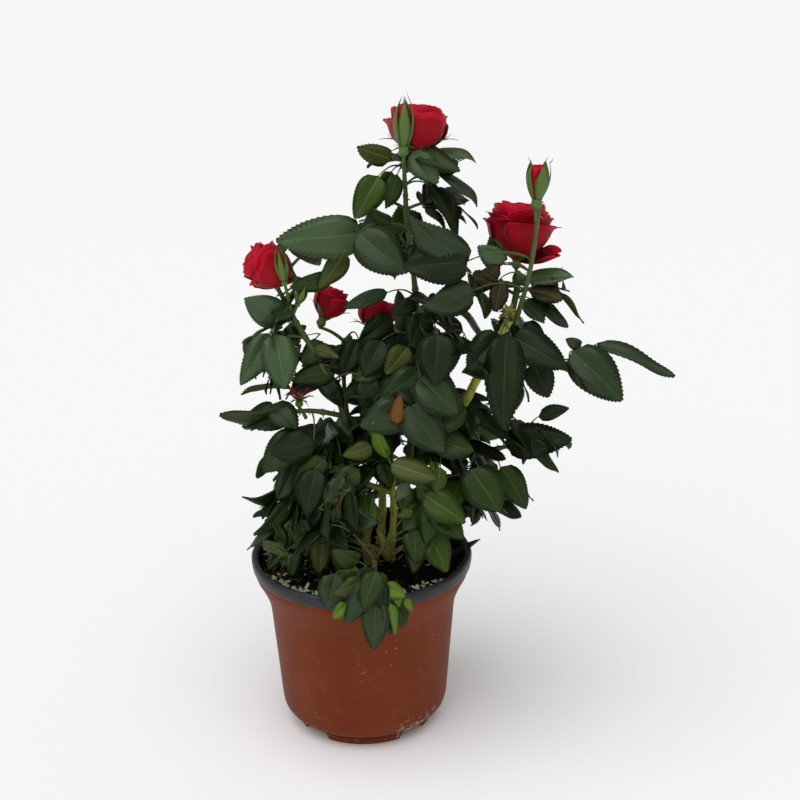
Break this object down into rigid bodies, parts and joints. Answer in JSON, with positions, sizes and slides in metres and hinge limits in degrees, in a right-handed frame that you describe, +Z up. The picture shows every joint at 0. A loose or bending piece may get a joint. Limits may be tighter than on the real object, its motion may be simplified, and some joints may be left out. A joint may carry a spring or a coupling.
{
  "type": "potted rose bush",
  "caption": "Small shrub rose in a round nursery pot: thin tapering canes, loose masses of foliage, flower heads at the tips, rolled pot rim, filled with growing medium.",
  "frame": {"origin": "middle of the pot's flat underside", "axes": "+Z up along the pot, -Y towards the front of the plant, +X to the right seen from the front"},
  "size_m": [0.4014, 0.25, 0.571],
  "materials": {
    "terracotta_plastic": "satin",
    "black_plastic": "satin",
    "growing_medium": "matte",
    "green_bark": "satin",
    "brown_bark": "matte",
    "dark_leaf": "satin",
    "fresh_leaf": "satin",
    "bronze_leaf": "satin",
    "red_petal": "satin",
    "green_sepal": "satin",
    "perlite": "matte"
  },
  "bodies": {
    "root": {"bough-left-side": "brown_bark", "bough-left-tip": "green_bark", "bough-middle-flower": "green_bark", "bough-right-bud": "green_bark", "bough-right-flower": "green_bark", "bough-right-low": "green_bark", "bough-right-outer": "green_bark", "cane-back": "green_bark", "cane-centre": "green_bark", "cane-left": "green_bark", "cane-right": "green_bark", "cane-top": "green_bark", "crown-back-centre": "dark_leaf", "crown-back-left": "dark_leaf", "crown-back-right": "dark_leaf", "crown-back-upper": "dark_leaf", "crown-centre": "dark_leaf", "crown-left": "dark_leaf", "crown-right": "dark_leaf", "flower-bud-right": "red_petal", "flower-head-left": "red_petal", "flower-head-right": "red_petal", "flower-head-top": "red_petal", "flower-heads-middle": "red_petal", "growing-medium": "growing_medium", "leaves-back-left-upper": "dark_leaf", "leaves-back-low": "dark_leaf", "leaves-back-low-left": "dark_leaf", "leaves-back-low-right": "dark_leaf", "leaves-back-right-upper": "dark_leaf", "leaves-centre-upper": "dark_leaf", "leaves-front-rim": "fresh_leaf", "leaves-inner-left": "dark_leaf", "leaves-left-middle": "dark_leaf", "leaves-left-rim": "dark_leaf", "leaves-left-shoulder": "dark_leaf", "leaves-left-tip": "dark_leaf", "leaves-low-front-left": "dark_leaf", "leaves-low-front-right": "fresh_leaf", "leaves-low-left": "dark_leaf", "leaves-low-right": "dark_leaf", "leaves-low-right-outer": "dark_leaf", "leaves-right-front": "dark_leaf", "leaves-right-outer": "dark_leaf", "leaves-right-shoulder": "dark_leaf", "leaves-right-tip": "dark_leaf", "leaves-top-collar": "dark_leaf", "leaves-upper-back": "dark_leaf", "leaves-upper-front": "dark_leaf", "leaves-upper-left": "dark_leaf", "leaves-upper-middle": "dark_leaf", "leaves-upper-right": "dark_leaf", "leaves-young-shoot": "bronze_leaf", "nursery-pot": "terracotta_plastic", "pot-rim": "black_plastic", "shoot-front": "green_bark", "stub-cut": "brown_bark"}
  },
  "joints": []
}
